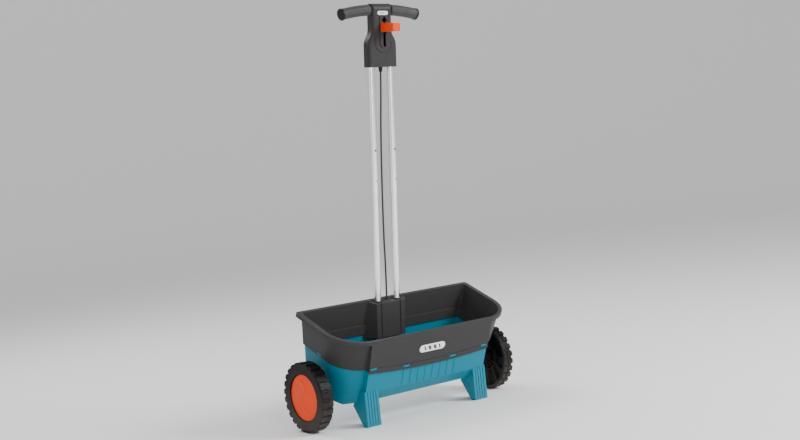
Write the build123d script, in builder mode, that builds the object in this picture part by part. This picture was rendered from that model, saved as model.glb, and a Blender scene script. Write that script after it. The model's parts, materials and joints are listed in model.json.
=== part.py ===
"""Drop spreader for lawns: a tilted hopper on two wheels with a telescopic T-handle.

Row frame: X along the axle, -Y the front with the two feet, +Z up, floor at z = 0.
The hopper is modelled in a plane tilted about the axle, the handle in a plane along its tubes.
"""
from build123d import *
import math
import os

os.makedirs("parts", exist_ok=True)

# ---- running gear ----
wheel_r = 100.0
wheel_clearance = 34.0
wheel_width = 35.0
tread_depth = 4.6
tread_count = 26
rim_wall = 5.0
web_wall = 3.0
web_recess = 5.0
cap_r = 65.6
cap_gap = 1.2
cap_thickness = 4.0
hub_r = 17.0
drum_r = 42.0
drum_wall = 2.5
rib_count = 12
rib_wall = 2.4
axle_r = 4.0
running_gap = 0.06
press_gap = 0.02
bush_r = 9.0
bush_flange_r = 15.0
bush_flange = 3.0
bush_inside = 5.0
drive_pin_inset = 18.0
hub_length = 52.0
drum_depth = 14.0
rib_depth = 12.0
tread_outer_width = 19.0
tread_long = 16.0
tread_groove = 5.0
agitator_half = 222.0
agitator_hub_r = 8.0
agitator_r = 20.0
agitator_blade = 4.0
clip_r = 9.0
clip_thickness = 1.6
drive_pin_r = 1.5
drive_pin_length = 26.0

# ---- hopper, in its own tilted plane (origin on the axle) ----
tub_tilt = 22.5
wall = 3.0
rim_height = 198.0
rim_half_w = 318.0
rim_back = 136.0
rim_front = 104.0
rim_corner_r = 104.0
rim_back_corner_r = 9.0
rim_overhang_side = 12.0
rim_overhang_back = 8.0
rim_overhang_front = 6.0
rim_thickness = 3.0
rim_lip = 11.0
rim_lip_wall = 2.4
side_draft = 0.133
back_draft = 0.10
front_draft = 0.05
collar_bottom = 105.0
joint_gap = 0.3
tub_top = 122.0
trough_floor = -28.0
trough_half = 25.0
outlet_count = 15
outlet_pitch = 30.0
outlet_length = 12.0
outlet_width = 7.0
front_edge_z = 5.0
back_edge = (118.0, 42.0)
apron_half = 219.0
apron_front = 108.0
apron_side_z = 101.0
apron_middle_z = 90.0
apron_band = 17.0
panel_front = 105.0
panel_top = 103.0
groove_size = 1.2
apron_thickness = 2.6
clip_slot = (25.0, 8.0)
clip_nose = 2.4
clip_places = ((203.5, 113.0), (85.7, 101.0))
side_clip = (30.0, 111.0)
side_slot = (20.0, 7.0)
flute_bottom = 40.0
flute_count = 8
flute_pitch = 27.0
flute_r = 3.0
flute_depth = 0.9
ledge_bottom = 97.0
ledge_depth = 9.6

boss_bottom = -112.0
boss_face = -19.0
boss_front_half = 52.0
boss_back_half = 104.0
seam_width = 3.0
seam_depth = 2.0
conduit_r = 7.5
badge_length = 93.0
badge_height = 22.0
badge_thickness = 1.4
badge_z = 145.0

# ---- feet, in the row frame ----
foot_inner_x = 175.5
foot_outer_x = 222.8
foot_front = 113.5
foot_height = 99.0
foot_sole = 19.0
foot_rib_count = 5
foot_groove = 2.2
foot_groove_depth = 1.8

# ---- handle, in the plane along its tubes (origin where they cross the rim) ----
handle_lean = 15.4
tube_back = 123.0
tube_half_pitch = 35.0
upper_tube_r = 12.0
upper_tube_wall = 0.9
lower_tube_r = 10.7
lower_tube_wall = 1.2
upper_tube_bottom = 310.0
lower_tube_top = 425.0
lower_tube_bottom = -95.0
bulge_bottom = -75.0
lock_hole_r = 3.2
lock_hole_first = 353.7
lock_hole_pitch = 43.7
lock_hole_count = 3
button_gap = 0.25

# ---- head, same plane ----
head_bottom = 681.0
head_half_w = 50.0
shoulder_low = 742.0
shoulder_high = 792.0
column_half_w = 34.0
head_depth = 34.0
bar_height = 845.0
head_wall = 2.6
head_fillet = 8.0
tube_in_head = 52.0
slot_x = 6.0
slot_bottom = 738.0
slot_top = 825.0
slot_width = 8.0
plus_height = 815.0
plus_width = 18.0
plus_bar = 5.0
notch_count = 8
notch_size = 4.2
groove_x = -11.7
groove_width = 3.2
panel_half_w = 30.0
panel_bottom = 722.0
groove_depth = 1.9

# ---- T-bar ----
bar_r = 10.0
grip_r = 16.0
grip_half_length = 136.0
grip_droop = 14.0
grip_start = 35.5
end_cap_r = 17.4
end_cap_thickness = 5.0
grip_end_fillet = 5.0
cap_fillet = 2.0
bar_wall = 2.0

# ---- dosing lever, cable and shutter ----
lever_height = 794.0
lever_up = 20.0
lever_down = 40.0
knob_width = 30.0
knob_length = 56.0
knob_height = 26.0
knob_gap = 1.5
knob_fillet = 4.5
knob_rib_depth = 0.9
knob_rib_pitch = 4.6
stem_height = 10.0
slide_gap = 0.35
carriage_width = 26.0
carriage_depth = 5.0
carriage_height = 24.0
cable_r = 2.8
cable_bore_r = 1.25
wire_r = 0.9
cable_bow = 8.0
cable_lead = 60.0
cable_ease = 28.0
grommet_r = 6.0
grommet_length = 12.0
shutter_thickness = 2.5
shutter_half_w = 15.0
shutter_half_length = 235.0
shutter_gap = 0.5
rail_spans = ((-200.0, 15.0), (75.0, 200.0))
rail_wall = 3.0
rail_hook = 4.0
crank_y = 61.0
crank_long = 46.0
crank_short = 8.0
crank_thickness = 4.0
crank_arm = 5.0
crank_pin_r = 2.5
shutter_pin_r = 1.5
shutter_pin_play = 0.7
lug_thickness = 5.5
ferrule_r = 4.4
ferrule_base = 2.0
ferrule_length = 5.0
plug_length = 12.0
plug_collar = 6.0
leaf_thickness = 0.7
post_low = (13.0, 700.0)
post_high = (26.0, 824.0)
post_r = 4.0
screw_r = 1.5
screw_head_r = 3.2
screw_head_height = 2.2
screw_length = 24.0
screw_slot = 3.6
head_badge_height = 835.0
head_badge_length = 36.0
head_badge_width = 11.0
grommet_neck_r = 4.5
bar_short = 7.0
sleeve_bottom = -212.0
wire_bottom = -228.0

# ---- derived places ----
tilt = math.radians(tub_tilt)
wheel_outer_x = rim_half_w + wheel_clearance
drive_pin_x = wheel_outer_x - drive_pin_inset
hub_end_x = wheel_outer_x - hub_length
rim_reach = rim_front * math.cos(tilt) + rim_height * math.sin(tilt)
axle_y = (rim_reach - wheel_r) / 2
axle_point = Vector(0, axle_y, wheel_r)
axle_axis = Axis(axle_point, (1, 0, 0))
tub = Plane(origin=axle_point, x_dir=(1, 0, 0), z_dir=(0, -math.sin(tilt), math.cos(tilt)))
lean = math.radians(tub_tilt - handle_lean)
tube_foot = tub.from_local_coords(Vector(0, tube_back, rim_height))
handle = Plane(origin=tube_foot, x_dir=(1, 0, 0), z_dir=(0, -math.sin(lean), math.cos(lean)))
sides = (-1, 1)
side_names = {-1: "left", 1: "right"}
shutter_top = trough_floor - shutter_gap
shutter_middle = shutter_top - shutter_thickness / 2
crank_half_swing = (lever_up + lever_down) / (2 * crank_long)
crank_rest = crank_half_swing - lever_up / crank_long
crank_x = crank_long * math.cos(crank_rest)
crank_z = shutter_middle - crank_short
slide_ratio = 2 * crank_short * math.tan(crank_half_swing) / (lever_up + lever_down)
shutter_pin_x = crank_x + crank_short * math.tan(crank_rest)
tub_side_x = rim_half_w - rim_overhang_side - side_draft * rim_height - wall - joint_gap
lower_bore_r = lower_tube_r - lower_tube_wall


def side_of(plane, x=0.0):
    """The plane seen from the side: its x is the plane's y, its y the plane's z."""
    origin = plane.from_local_coords(Vector(x, 0, 0))
    return Plane(origin=origin, x_dir=plane.y_dir, z_dir=plane.x_dir)


def front_of(plane, forward=0.0):
    """The plane seen from the front: its x is the plane's x, its y the plane's z."""
    origin = plane.from_local_coords(Vector(0, -forward, 0))
    return Plane(origin=origin, x_dir=plane.x_dir, z_dir=-plane.y_dir)


def across(x):
    """A plane square to the axle at this x, with its x along Y and its y along Z."""
    return Plane(origin=(x, axle_y, wheel_r), x_dir=(0, 1, 0), z_dir=(1, 0, 0))


along_axle = Plane(origin=axle_point, x_dir=(1, 0, 0), z_dir=(0, -1, 0))


def save(solid, name):
    """Label a finished piece and write it under the same name."""
    solid.label = name
    export_step(solid, f"parts/{name}.step")


def plan_at(height, inset):
    """The hopper's plan outline at a height above the axle, moved in by inset."""
    drop = rim_height - height
    half_w = rim_half_w - rim_overhang_side - side_draft * drop - inset
    back = rim_back - rim_overhang_back - back_draft * drop - inset
    front = rim_front - rim_overhang_front - front_draft * drop - inset
    with BuildSketch(tub.offset(height)) as plan:
        with Locations((0, (back - front) / 2)):
            Rectangle(2 * half_w, back + front)
        fillet(plan.vertices().group_by(Axis.Y)[0], rim_corner_r - rim_overhang_side - inset)
        fillet(plan.vertices().group_by(Axis.Y)[-1], rim_back_corner_r)
    return plan.sketch


def hopper_block(low, high, inset):
    """A solid block of the hopper's plan between two heights, with its drafts."""
    with BuildPart() as block:
        loft([plan_at(low, inset), plan_at(high, inset)], ruled=True)
    return block.part


def tub_block(inset):
    """The tub's outside, moved in by inset: drafted walls over a trough with rounded ends."""
    with BuildPart() as block:
        add(hopper_block(trough_floor - 10, tub_top, wall + joint_gap + inset))
        with BuildSketch(tub.offset(trough_floor - 10)):
            with Locations((0, -panel_front / 2)):
                Rectangle(2 * (apron_half - 1 - inset), panel_front - 2 * inset)
        extrude(amount=panel_top - inset - trough_floor + 10)
        with BuildSketch(side_of(tub)):
            with BuildLine():
                Polyline(
                    (-rim_front - 40, tub_top + 20),
                    (-rim_front + 11, front_edge_z),
                    (-trough_half, trough_floor),
                    (trough_half, trough_floor),
                    back_edge,
                    (rim_back + 20, tub_top + 20),
                    close=True,
                )
            make_face()
            if inset:
                offset(amount=-inset, kind=Kind.INTERSECTION)
        extrude(amount=rim_half_w, both=True, mode=Mode.INTERSECT)
        with BuildSketch(front_of(tub)) as end_view:
            with BuildLine():
                end_line = Polyline(
                    (0, trough_floor),
                    (apron_half + 8, trough_floor),
                    (apron_half + 24, -16),
                    (tub_side_x - 2, -10),
                    (rim_half_w, tub_top + 20),
                    (0, tub_top + 20),
                )
                mirror(end_line, about=Plane.YZ)
            make_face()
            fillet(end_view.vertices().group_by(Axis.Y)[2], 14)
            if inset:
                offset(amount=-inset, kind=Kind.INTERSECTION)
        extrude(amount=2 * rim_back, both=True, mode=Mode.INTERSECT)
    return block.part


def panel_block(half_w, thickness):
    """The collar's front panel: a plate leaning out below, with an arched edge and two side webs."""
    top = rim_height - rim_thickness / 2
    with BuildPart() as panel:
        with BuildSketch(front_of(tub)):
            with BuildLine():
                ThreePointArc((-half_w, apron_side_z), (0, apron_middle_z), (half_w, apron_side_z))
                Polyline(
                    (half_w, apron_side_z), (half_w, top), (-half_w, top), (-half_w, apron_side_z)
                )
            make_face()
        extrude(amount=2 * apron_front)
        with BuildSketch(side_of(tub)):
            with BuildLine():
                Polyline(
                    (-apron_front + thickness, apron_middle_z - 1),
                    (-apron_front, apron_middle_z - 1),
                    (-apron_front, apron_side_z + apron_band + 4),
                    (-rim_front, top),
                    (-rim_front + thickness, top),
                    (-apron_front + thickness, apron_side_z + apron_band + 4),
                    close=True,
                )
            make_face()
        extrude(amount=half_w, both=True, mode=Mode.INTERSECT)
        for side in sides:
            with BuildSketch(side_of(tub, side * half_w)):
                with BuildLine():
                    Polyline(
                        (-apron_front + 0.5, collar_bottom),
                        (-apron_front + 0.5, apron_side_z + apron_band + 4),
                        (-rim_front + 0.5, top),
                        (-rim_front + rim_overhang_front + 1, top),
                        (-rim_front + 3 * rim_overhang_front - 1, collar_bottom),
                        close=True,
                    )
                make_face()
            extrude(amount=-side * thickness)
    return panel.part


def boss_block():
    """The tube housing: a trapezoid in plan that follows the tubes, over the cable's conduit."""
    with BuildPart() as block:
        with BuildSketch(handle.offset(boss_bottom)):
            with BuildLine():
                Polyline(
                    (-boss_back_half, 45),
                    (-boss_front_half, boss_face),
                    (boss_front_half, boss_face),
                    (boss_back_half, 45),
                    close=True,
                )
            make_face()
        extrude(amount=-boss_bottom - 2)
        with BuildSketch(handle.offset(-240)):
            Circle(conduit_r)
        extrude(amount=200)
    return block.part


def clear_space():
    """Where the housing may be: into the collar's wall above, clear of the tub's wall below."""
    with BuildPart() as space:
        add(hopper_block(tub_top, rim_height - rim_thickness - 1, wall - 0.5))
        add(tub_block(wall + joint_gap))
    return space.part


def socket_body():
    """The boss that holds the tubes, merged with the back wall and clear of the tub."""
    with BuildPart() as boss:
        add(boss_block())
        add(clear_space(), mode=Mode.INTERSECT)
    return boss.part


# ================= hopper =================
with BuildPart() as hopper_tub:
    add(tub_block(0))
    add(tub_block(wall), mode=Mode.SUBTRACT)
    # feet, ribbed in front and tapering down to their soles
    for side in sides:
        with BuildSketch(Plane.YZ.offset(side * foot_inner_x)):
            with BuildLine():
                Polyline(
                    (axle_y - foot_front, 0),
                    (axle_y - foot_front + foot_sole, 0),
                    (axle_y - 52, 58),
                    (axle_y - 78, 92),
                    (axle_y - 100, foot_height + 5),
                    (axle_y - foot_front, foot_height),
                    close=True,
                )
            make_face()
        extrude(amount=side * (foot_outer_x - foot_inner_x))
    groove_pitch = (foot_outer_x - foot_inner_x) / foot_rib_count
    with BuildSketch(Plane.XZ.offset(foot_front - axle_y)):
        for side in sides:
            for number in range(1, foot_rib_count):
                with Locations((side * (foot_inner_x + number * groove_pitch), foot_height / 2 + 4)):
                    Rectangle(foot_groove, foot_height)
    extrude(amount=-foot_groove_depth, mode=Mode.SUBTRACT)
    # keep the inside clear of the feet
    add(tub_block(wall), mode=Mode.SUBTRACT)
    # shallow upright flutes on the front panel
    with BuildSketch(tub.offset(flute_bottom)):
        for number in range(flute_count):
            with Locations(((number - (flute_count - 1) / 2) * flute_pitch, -panel_front)):
                Rectangle(2 * flute_r, 2 * flute_depth)
    extrude(amount=panel_top - 5 - flute_bottom, mode=Mode.SUBTRACT)
    # tabs that snap into the collar's slots
    for side in sides:
        for place_x, place_z in clip_places:
            low_z = panel_top - wall
            high_z = place_z + clip_slot[1] / 2 - 1
            with BuildSketch(front_of(tub, panel_front - wall)):
                with Locations((side * place_x, (low_z + high_z) / 2)):
                    Rectangle(clip_slot[0] - 3, high_z - low_z)
            extrude(amount=wall)
            with BuildSketch(front_of(tub, panel_front - wall)):
                with Locations((side * place_x, place_z)):
                    Rectangle(clip_slot[0] - 3, clip_slot[1] - 2)
            extrude(amount=wall + clip_nose)
    side_face = rim_half_w - rim_overhang_side - side_draft * (rim_height - side_clip[1]) - wall
    for side in sides:
        with BuildSketch(side_of(tub, side * (side_face - wall))):
            with Locations(side_clip):
                Rectangle(side_slot[0] - 3, side_slot[1] - 2)
        extrude(amount=side * (2 * wall + 0.4))
    # bearing bosses and bores for the axle bushes
    for side in sides:
        with BuildSketch(across(side * (tub_side_x - wall - 2))):
            Circle(bush_r + 4)
        extrude(amount=side * (wall + 5))
        with BuildSketch(across(side * (tub_side_x - 12))):
            Circle(bush_r + press_gap)
        extrude(amount=side * 24, mode=Mode.SUBTRACT)
    # outlets along the trough
    with BuildSketch(tub.offset(trough_floor - 1)):
        with GridLocations(outlet_pitch, 1, outlet_count, 1):
            SlotOverall(outlet_length, outlet_width)
    extrude(amount=wall + 3, mode=Mode.SUBTRACT)
    # hooked rails that carry the shutter under the trough
    for start, stop in rail_spans:
        with BuildSketch(side_of(tub, start)):
            for side in sides:
                inner = side * (shutter_half_w + shutter_gap)
                outer = inner + side * rail_wall
                hook = inner - side * rail_hook
                hook_top = shutter_top - shutter_thickness - shutter_gap
                with BuildLine():
                    Polyline(
                        (inner, trough_floor + 1.5),
                        (outer, trough_floor + 1.5),
                        (outer, hook_top - 2.5),
                        (hook, hook_top - 2.5),
                        (hook, hook_top),
                        (inner, hook_top),
                        close=True,
                    )
                make_face()
        extrude(amount=stop - start)
    # lug for the crank's pivot pin, behind the crank
    lug_y = crank_y + crank_thickness / 2 + 1
    slope = (back_edge[1] - trough_floor) / (back_edge[0] - trough_half)
    lug_top = trough_floor + slope * (lug_y - trough_half) + wall / 2
    with BuildSketch(front_of(tub, -lug_y)):
        with Locations((crank_x, crank_z)):
            Circle(9)
        with Locations((crank_x, (crank_z + lug_top) / 2)):
            Rectangle(18, lug_top - crank_z)
        with Locations((crank_x, crank_z)):
            Circle(crank_pin_r, mode=Mode.SUBTRACT)
    extrude(amount=-lug_thickness)
    # bore for the cable where it leaves the tub
    with BuildSketch(handle.offset(-240)):
        Circle(ferrule_r + joint_gap)
    extrude(amount=100, mode=Mode.SUBTRACT)
save(hopper_tub.part, "hopper_tub")

with BuildPart() as hopper_collar:
    add(hopper_block(collar_bottom, rim_height, 0))
    # flange and turned-down lip round the rim
    with BuildSketch(tub.offset(rim_height - rim_thickness)) as flange:
        with Locations((0, (rim_back - rim_front) / 2)):
            Rectangle(2 * rim_half_w, rim_back + rim_front)
        fillet(flange.vertices().group_by(Axis.Y)[0], rim_corner_r)
        fillet(flange.vertices().group_by(Axis.Y)[-1], rim_back_corner_r)
    extrude(amount=rim_thickness)
    with BuildSketch(tub.offset(rim_height - rim_lip)):
        add(flange.sketch_local)
        offset(amount=-rim_lip_wall, mode=Mode.SUBTRACT)
    extrude(amount=rim_lip)
    # proud front panel from the rim down to its arched lower edge, closed at both sides
    add(panel_block(apron_half, apron_thickness))
    add(hopper_block(collar_bottom - 10, rim_height + 5, wall), mode=Mode.SUBTRACT)
    # groove that sets off the panel's lower band, and slots that the tub's tabs snap into
    with BuildSketch(front_of(tub, apron_front - groove_size)):
        with BuildLine() as band_line:
            ThreePointArc(
                (-apron_half - 1, apron_side_z + apron_band),
                (0, apron_middle_z + apron_band),
                (apron_half + 1, apron_side_z + apron_band),
            )
        trace(lines=band_line.edges(), line_width=groove_size)
        for side in sides:
            for place_x, place_z in clip_places:
                with Locations((side * place_x, place_z)):
                    SlotOverall(*clip_slot)
    extrude(amount=2 * groove_size, mode=Mode.SUBTRACT)
    with BuildSketch(front_of(tub, panel_front - wall)):
        for side in sides:
            for place_x, place_z in clip_places:
                with Locations((side * place_x, place_z)):
                    SlotOverall(*clip_slot)
    extrude(amount=2 * wall, mode=Mode.SUBTRACT)
    for side in sides:
        with BuildSketch(side_of(tub, side * (side_face - 1))):
            with Locations(side_clip):
                SlotOverall(*side_slot)
        extrude(amount=side * 2 * wall, mode=Mode.SUBTRACT)
    # stepped ledge inside, over the tub's top edge
    ledge_inset = 2 * wall + 2 * joint_gap
    ledge_top = tub_top + joint_gap + wall
    add(hopper_block(tub_top + joint_gap, ledge_top, wall - 1))
    add(hopper_block(ledge_bottom, tub_top + joint_gap, ledge_inset))
    add(hopper_block(ledge_bottom - 5, ledge_top + 5, ledge_depth), mode=Mode.SUBTRACT)
    # socket housing for the tubes, with a round bulge behind each one
    add(socket_body())
    with BuildSketch(handle.offset(bulge_bottom)):
        with Locations((-tube_half_pitch, 0), (tube_half_pitch, 0)):
            Circle(lower_tube_r + wall)
    extrude(amount=-bulge_bottom - rim_thickness)
    for side in sides:
        with BuildSketch(handle.offset(lower_tube_bottom)):
            with Locations((side * tube_half_pitch, 0)):
                Circle(lower_tube_r + joint_gap / 2)
        extrude(amount=120, mode=Mode.SUBTRACT)
        with BuildSketch(handle.offset(-130)):
            with Locations((side * tube_half_pitch, boss_face)):
                Rectangle(seam_width, 2 * seam_depth)
        extrude(amount=130, mode=Mode.SUBTRACT)
    with BuildSketch(handle.offset(-230)):
        Circle(cable_r + joint_gap)
    extrude(amount=240, mode=Mode.SUBTRACT)
save(hopper_collar.part, "hopper_collar")

with BuildPart() as front_badge:
    panel_lean = (apron_front - rim_front) / (rim_height - apron_side_z - apron_band)
    badge_wall = rim_front + panel_lean * (rim_height - badge_z)
    badge_top = tub.from_local_coords(Vector(0, -badge_wall - joint_gap, badge_z))
    badge_plane = Plane(origin=badge_top, x_dir=(1, 0, 0), z_dir=-tub.y_dir + tub.z_dir * panel_lean)
    with BuildSketch(badge_plane):
        SlotOverall(badge_length, badge_height)
    extrude(amount=badge_thickness)
    fillet(front_badge.faces().sort_by(Axis.Y)[0].edges(), 0.6)
save(front_badge.part, "front_badge")

# ================= axle, bushes and agitator =================
with BuildPart() as axle:
    with BuildSketch(across(-wheel_outer_x + cap_thickness + 3)):
        Circle(axle_r)
    extrude(amount=2 * (wheel_outer_x - cap_thickness - 3))
    chamfer(axle.edges().filter_by(GeomType.CIRCLE), 0.5)
    with BuildSketch(Plane(origin=(-drive_pin_x, axle_y, wheel_r))):
        Circle(drive_pin_r)
    extrude(amount=axle_r + 1, both=True, mode=Mode.SUBTRACT)
save(axle.part, "axle")

with BuildPart() as drive_pin:
    with BuildSketch(Plane(origin=(-drive_pin_x, axle_y, wheel_r))):
        Circle(drive_pin_r - press_gap)
    extrude(amount=drive_pin_length / 2, both=True)
save(drive_pin.part, "drive_pin")

for side in sides:
    with BuildPart() as bush:
        with BuildSketch(across(side * (tub_side_x - wall - bush_inside))):
            Circle(bush_r)
        extrude(amount=side * (wall + bush_inside + 4))
        with BuildSketch(across(side * (tub_side_x + 3.5))):
            Circle(bush_flange_r)
        extrude(amount=side * bush_flange)
        with BuildSketch(across(side * (tub_side_x - 40))):
            Circle(axle_r + running_gap)
        extrude(amount=side * 60, mode=Mode.SUBTRACT)
    save(bush.part, f"axle_bush_{side_names[side]}")

with BuildPart() as agitator:
    with BuildSketch(across(-agitator_half)):
        Circle(agitator_hub_r)
    extrude(amount=2 * agitator_half)
    for number in range(outlet_count):
        with BuildSketch(across((number - (outlet_count - 1) / 2) * outlet_pitch - agitator_blade / 2)):
            with PolarLocations(agitator_r / 2, 4, start_angle=22.5 * (number % 4)):
                Rectangle(agitator_r, agitator_blade)
        extrude(amount=agitator_blade)
    with BuildSketch(across(-agitator_half - 1)):
        Circle(axle_r + press_gap)
    extrude(amount=2 * agitator_half + 2, mode=Mode.SUBTRACT)
save(agitator.part, "agitator")

# ================= wheels =================
wheel_inner_x = wheel_outer_x - wheel_width
web_x = wheel_outer_x - web_recess
tread_base = wheel_r - tread_depth
rim_inner_r = tread_base - rim_wall
cap_seat_r = cap_r + cap_gap


def wheel_body(bore_r):
    """The right-hand wheel: rim, web with the cap's recess, hub, drum, ribs and tread."""
    with BuildPart() as wheel:
        with BuildSketch(along_axle):
            with BuildLine():
                Polyline(
                    (hub_end_x, bore_r),
                    (hub_end_x, hub_r),
                    (web_x - web_wall - 4, hub_r),
                    (web_x - web_wall - 4, rim_inner_r),
                    (wheel_inner_x, rim_inner_r),
                    (wheel_inner_x, tread_base - 1.5),
                    (wheel_inner_x + 1.5, tread_base),
                    (wheel_outer_x - 3, tread_base),
                    (wheel_outer_x, tread_base - 3),
                    (wheel_outer_x, cap_seat_r),
                    (web_x - 3, cap_seat_r - 0.6),
                    (web_x - 3, hub_r + 3),
                    (web_x - 5, bore_r),
                    close=True,
                )
            make_face()
        revolve(axis=axle_axis)
        # drum and radial ribs behind the web
        with BuildSketch(across(web_x - web_wall - 2)):
            Circle(drum_r)
            Circle(drum_r - drum_wall, mode=Mode.SUBTRACT)
        extrude(amount=-drum_depth)
        with BuildSketch(across(web_x - web_wall - 2)):
            with PolarLocations((hub_r + rim_inner_r) / 2, rib_count):
                Rectangle(rim_inner_r - hub_r + 2, rib_wall)
        extrude(amount=-rib_depth)
        # tread: a notched outer row and a plainer inner row
        tread_pitch = 360 / tread_count
        with BuildSketch(across(wheel_outer_x - tread_outer_width)):
            with PolarLocations(tread_base + tread_depth / 2 - 0.5, tread_count, start_angle=90):
                Trapezoid(tread_long, tread_depth + 1, 78, rotation=-90)
            Circle(wheel_r, mode=Mode.INTERSECT)
        extrude(amount=tread_outer_width - 1)
        with BuildSketch(across(wheel_inner_x + 1)):
            Circle(tread_base + tread_depth * 0.72)
            Circle(tread_base - 1, mode=Mode.SUBTRACT)
            with PolarLocations(wheel_r, tread_count, start_angle=90 + tread_pitch / 2):
                Rectangle(2 * tread_depth, tread_groove, mode=Mode.SUBTRACT)
        extrude(amount=wheel_width - tread_outer_width - 2)
    return wheel.part


wheels = {1: wheel_body(axle_r + running_gap), -1: wheel_body(axle_r + press_gap)}
for side in sides:
    with BuildPart() as wheel:
        add(wheels[side])
        if side < 0:
            mirror(about=Plane.YZ, mode=Mode.REPLACE)
            with BuildSketch(Plane(origin=(-drive_pin_x, axle_y, wheel_r))):
                Circle(drive_pin_r + press_gap)
            extrude(amount=drive_pin_length / 2 + 0.5, both=True, mode=Mode.SUBTRACT)
            with BuildSketch(across(-drive_pin_x + drive_pin_r)):
                Rectangle(2 * drive_pin_r + 2 * press_gap, drive_pin_length + 1)
            extrude(amount=8, mode=Mode.SUBTRACT)
    save(wheel.part, f"wheel_{side_names[side]}")

for side in sides:
    with BuildPart() as cap:
        with BuildSketch(across(side * (wheel_outer_x - cap_thickness))):
            Circle(cap_r)
        extrude(amount=side * cap_thickness)
        fillet(cap.faces().sort_by(Axis.X)[0 if side < 0 else -1].edges(), 1.2)
        # stub that clips over the hub's end
        with BuildSketch(across(side * (wheel_outer_x - cap_thickness))):
            with PolarLocations(40, 4):
                Circle(4)
        extrude(amount=-side * (web_recess + 3 - cap_thickness - joint_gap))
        # raised arms, a pair of crescents turned about the centre
        with BuildSketch(across(side * wheel_outer_x)):
            for turn in (0, 180):
                with Locations(Rotation(0, 0, turn + 30)):
                    with Locations((0, cap_r * 0.42)):
                        Ellipse(cap_r * 0.36, cap_r * 0.2)
            for turn in (0, 180):
                with Locations(Rotation(0, 0, turn + 30)):
                    with Locations((cap_r * 0.16, cap_r * 0.5)):
                        Ellipse(cap_r * 0.36, cap_r * 0.2, mode=Mode.SUBTRACT)
        extrude(amount=-side * 0.6, mode=Mode.SUBTRACT)
    save(cap.part, f"wheel_cap_{side_names[side]}")

with BuildPart() as axle_clips:
    for side in sides:
        with BuildSketch(across(side * (web_x - 3 + 0.4))):
            Circle(clip_r)
            Circle(axle_r + press_gap, mode=Mode.SUBTRACT)
            with PolarLocations(axle_r + 1.6, 6):
                Rectangle(2.4, 0.8, mode=Mode.SUBTRACT)
        extrude(amount=side * clip_thickness)
save(axle_clips.part, "axle_clips")

# ================= telescopic tubes =================
hole_heights = [lock_hole_first + number * lock_hole_pitch for number in range(lock_hole_count)]
button_r = lock_hole_r - button_gap
leaf_y = lower_bore_r - 1.0
leaf_width = 0.7 * leaf_y
for side in sides:
    centre_x = side * tube_half_pitch
    side_name = side_names[side]

    with BuildPart() as lower_tube:
        with BuildSketch(handle.offset(lower_tube_bottom + 1)):
            with Locations((centre_x, 0)):
                Circle(lower_tube_r)
                Circle(lower_bore_r, mode=Mode.SUBTRACT)
        extrude(amount=lower_tube_top - lower_tube_bottom - 1)
        with BuildSketch(front_of(handle)):
            with Locations((centre_x, lock_hole_first)):
                Circle(lock_hole_r)
        extrude(amount=upper_tube_r + 5, mode=Mode.SUBTRACT)
    save(lower_tube.part, f"lower_tube_{side_name}")

    with BuildPart() as upper_tube:
        with BuildSketch(handle.offset(upper_tube_bottom)):
            with Locations((centre_x, 0)):
                Circle(upper_tube_r)
                Circle(upper_tube_r - upper_tube_wall, mode=Mode.SUBTRACT)
        extrude(amount=head_bottom + tube_in_head - upper_tube_bottom)
        with BuildSketch(front_of(handle)):
            for height in hole_heights:
                with Locations((centre_x, height)):
                    Circle(lock_hole_r)
        extrude(amount=upper_tube_r + 5, mode=Mode.SUBTRACT)
    save(upper_tube.part, f"upper_tube_{side_name}")

    with BuildPart() as tube_plug:
        with BuildSketch(handle.offset(lower_tube_top - plug_length)):
            with Locations((centre_x, 0)):
                Circle(lower_bore_r - press_gap)
        extrude(amount=plug_length)
        with BuildSketch(handle.offset(lower_tube_top + 0.1)):
            with Locations((centre_x, 0)):
                Circle(upper_tube_r - upper_tube_wall - running_gap)
        extrude(amount=plug_collar)
        with BuildSketch(handle.offset(lower_tube_top - 1)):
            with Locations((centre_x, 0)):
                Circle(lower_bore_r - 1)
        extrude(amount=2)
        with BuildSketch(handle.offset(lower_tube_top - plug_length - 1)):
            with Locations((centre_x, 0)):
                Circle(lower_bore_r - 2.2)
        extrude(amount=plug_length + plug_collar + 5, mode=Mode.SUBTRACT)
    save(tube_plug.part, f"tube_plug_{side_name}")

    # one springy strip: a button on the front leaf, a bend below and a rear leaf
    with BuildPart() as snap_clip:
        with BuildSketch(side_of(handle, centre_x - leaf_width / 2)):
            with BuildLine() as leaf_line:
                front_leaf = Line((-leaf_y, lock_hole_first + 8), (-leaf_y + 0.4, lock_hole_first - 26))
                rear_leaf = Line((leaf_y, lock_hole_first + 4), (leaf_y - 0.4, lock_hole_first - 26))
                ThreePointArc(front_leaf @ 1, (0, lock_hole_first - 35), rear_leaf @ 1)
            trace(lines=leaf_line.edges(), line_width=leaf_thickness)
        extrude(amount=leaf_width)
        with BuildSketch(front_of(handle, leaf_y - 0.2)):
            with Locations((centre_x, lock_hole_first)):
                Circle(button_r)
        extrude(amount=upper_tube_r - leaf_y + 0.4)
        fillet(snap_clip.faces().sort_by(Axis.Y)[0].edges(), 0.9)
    save(snap_clip.part, f"snap_clip_{side_name}")

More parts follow.
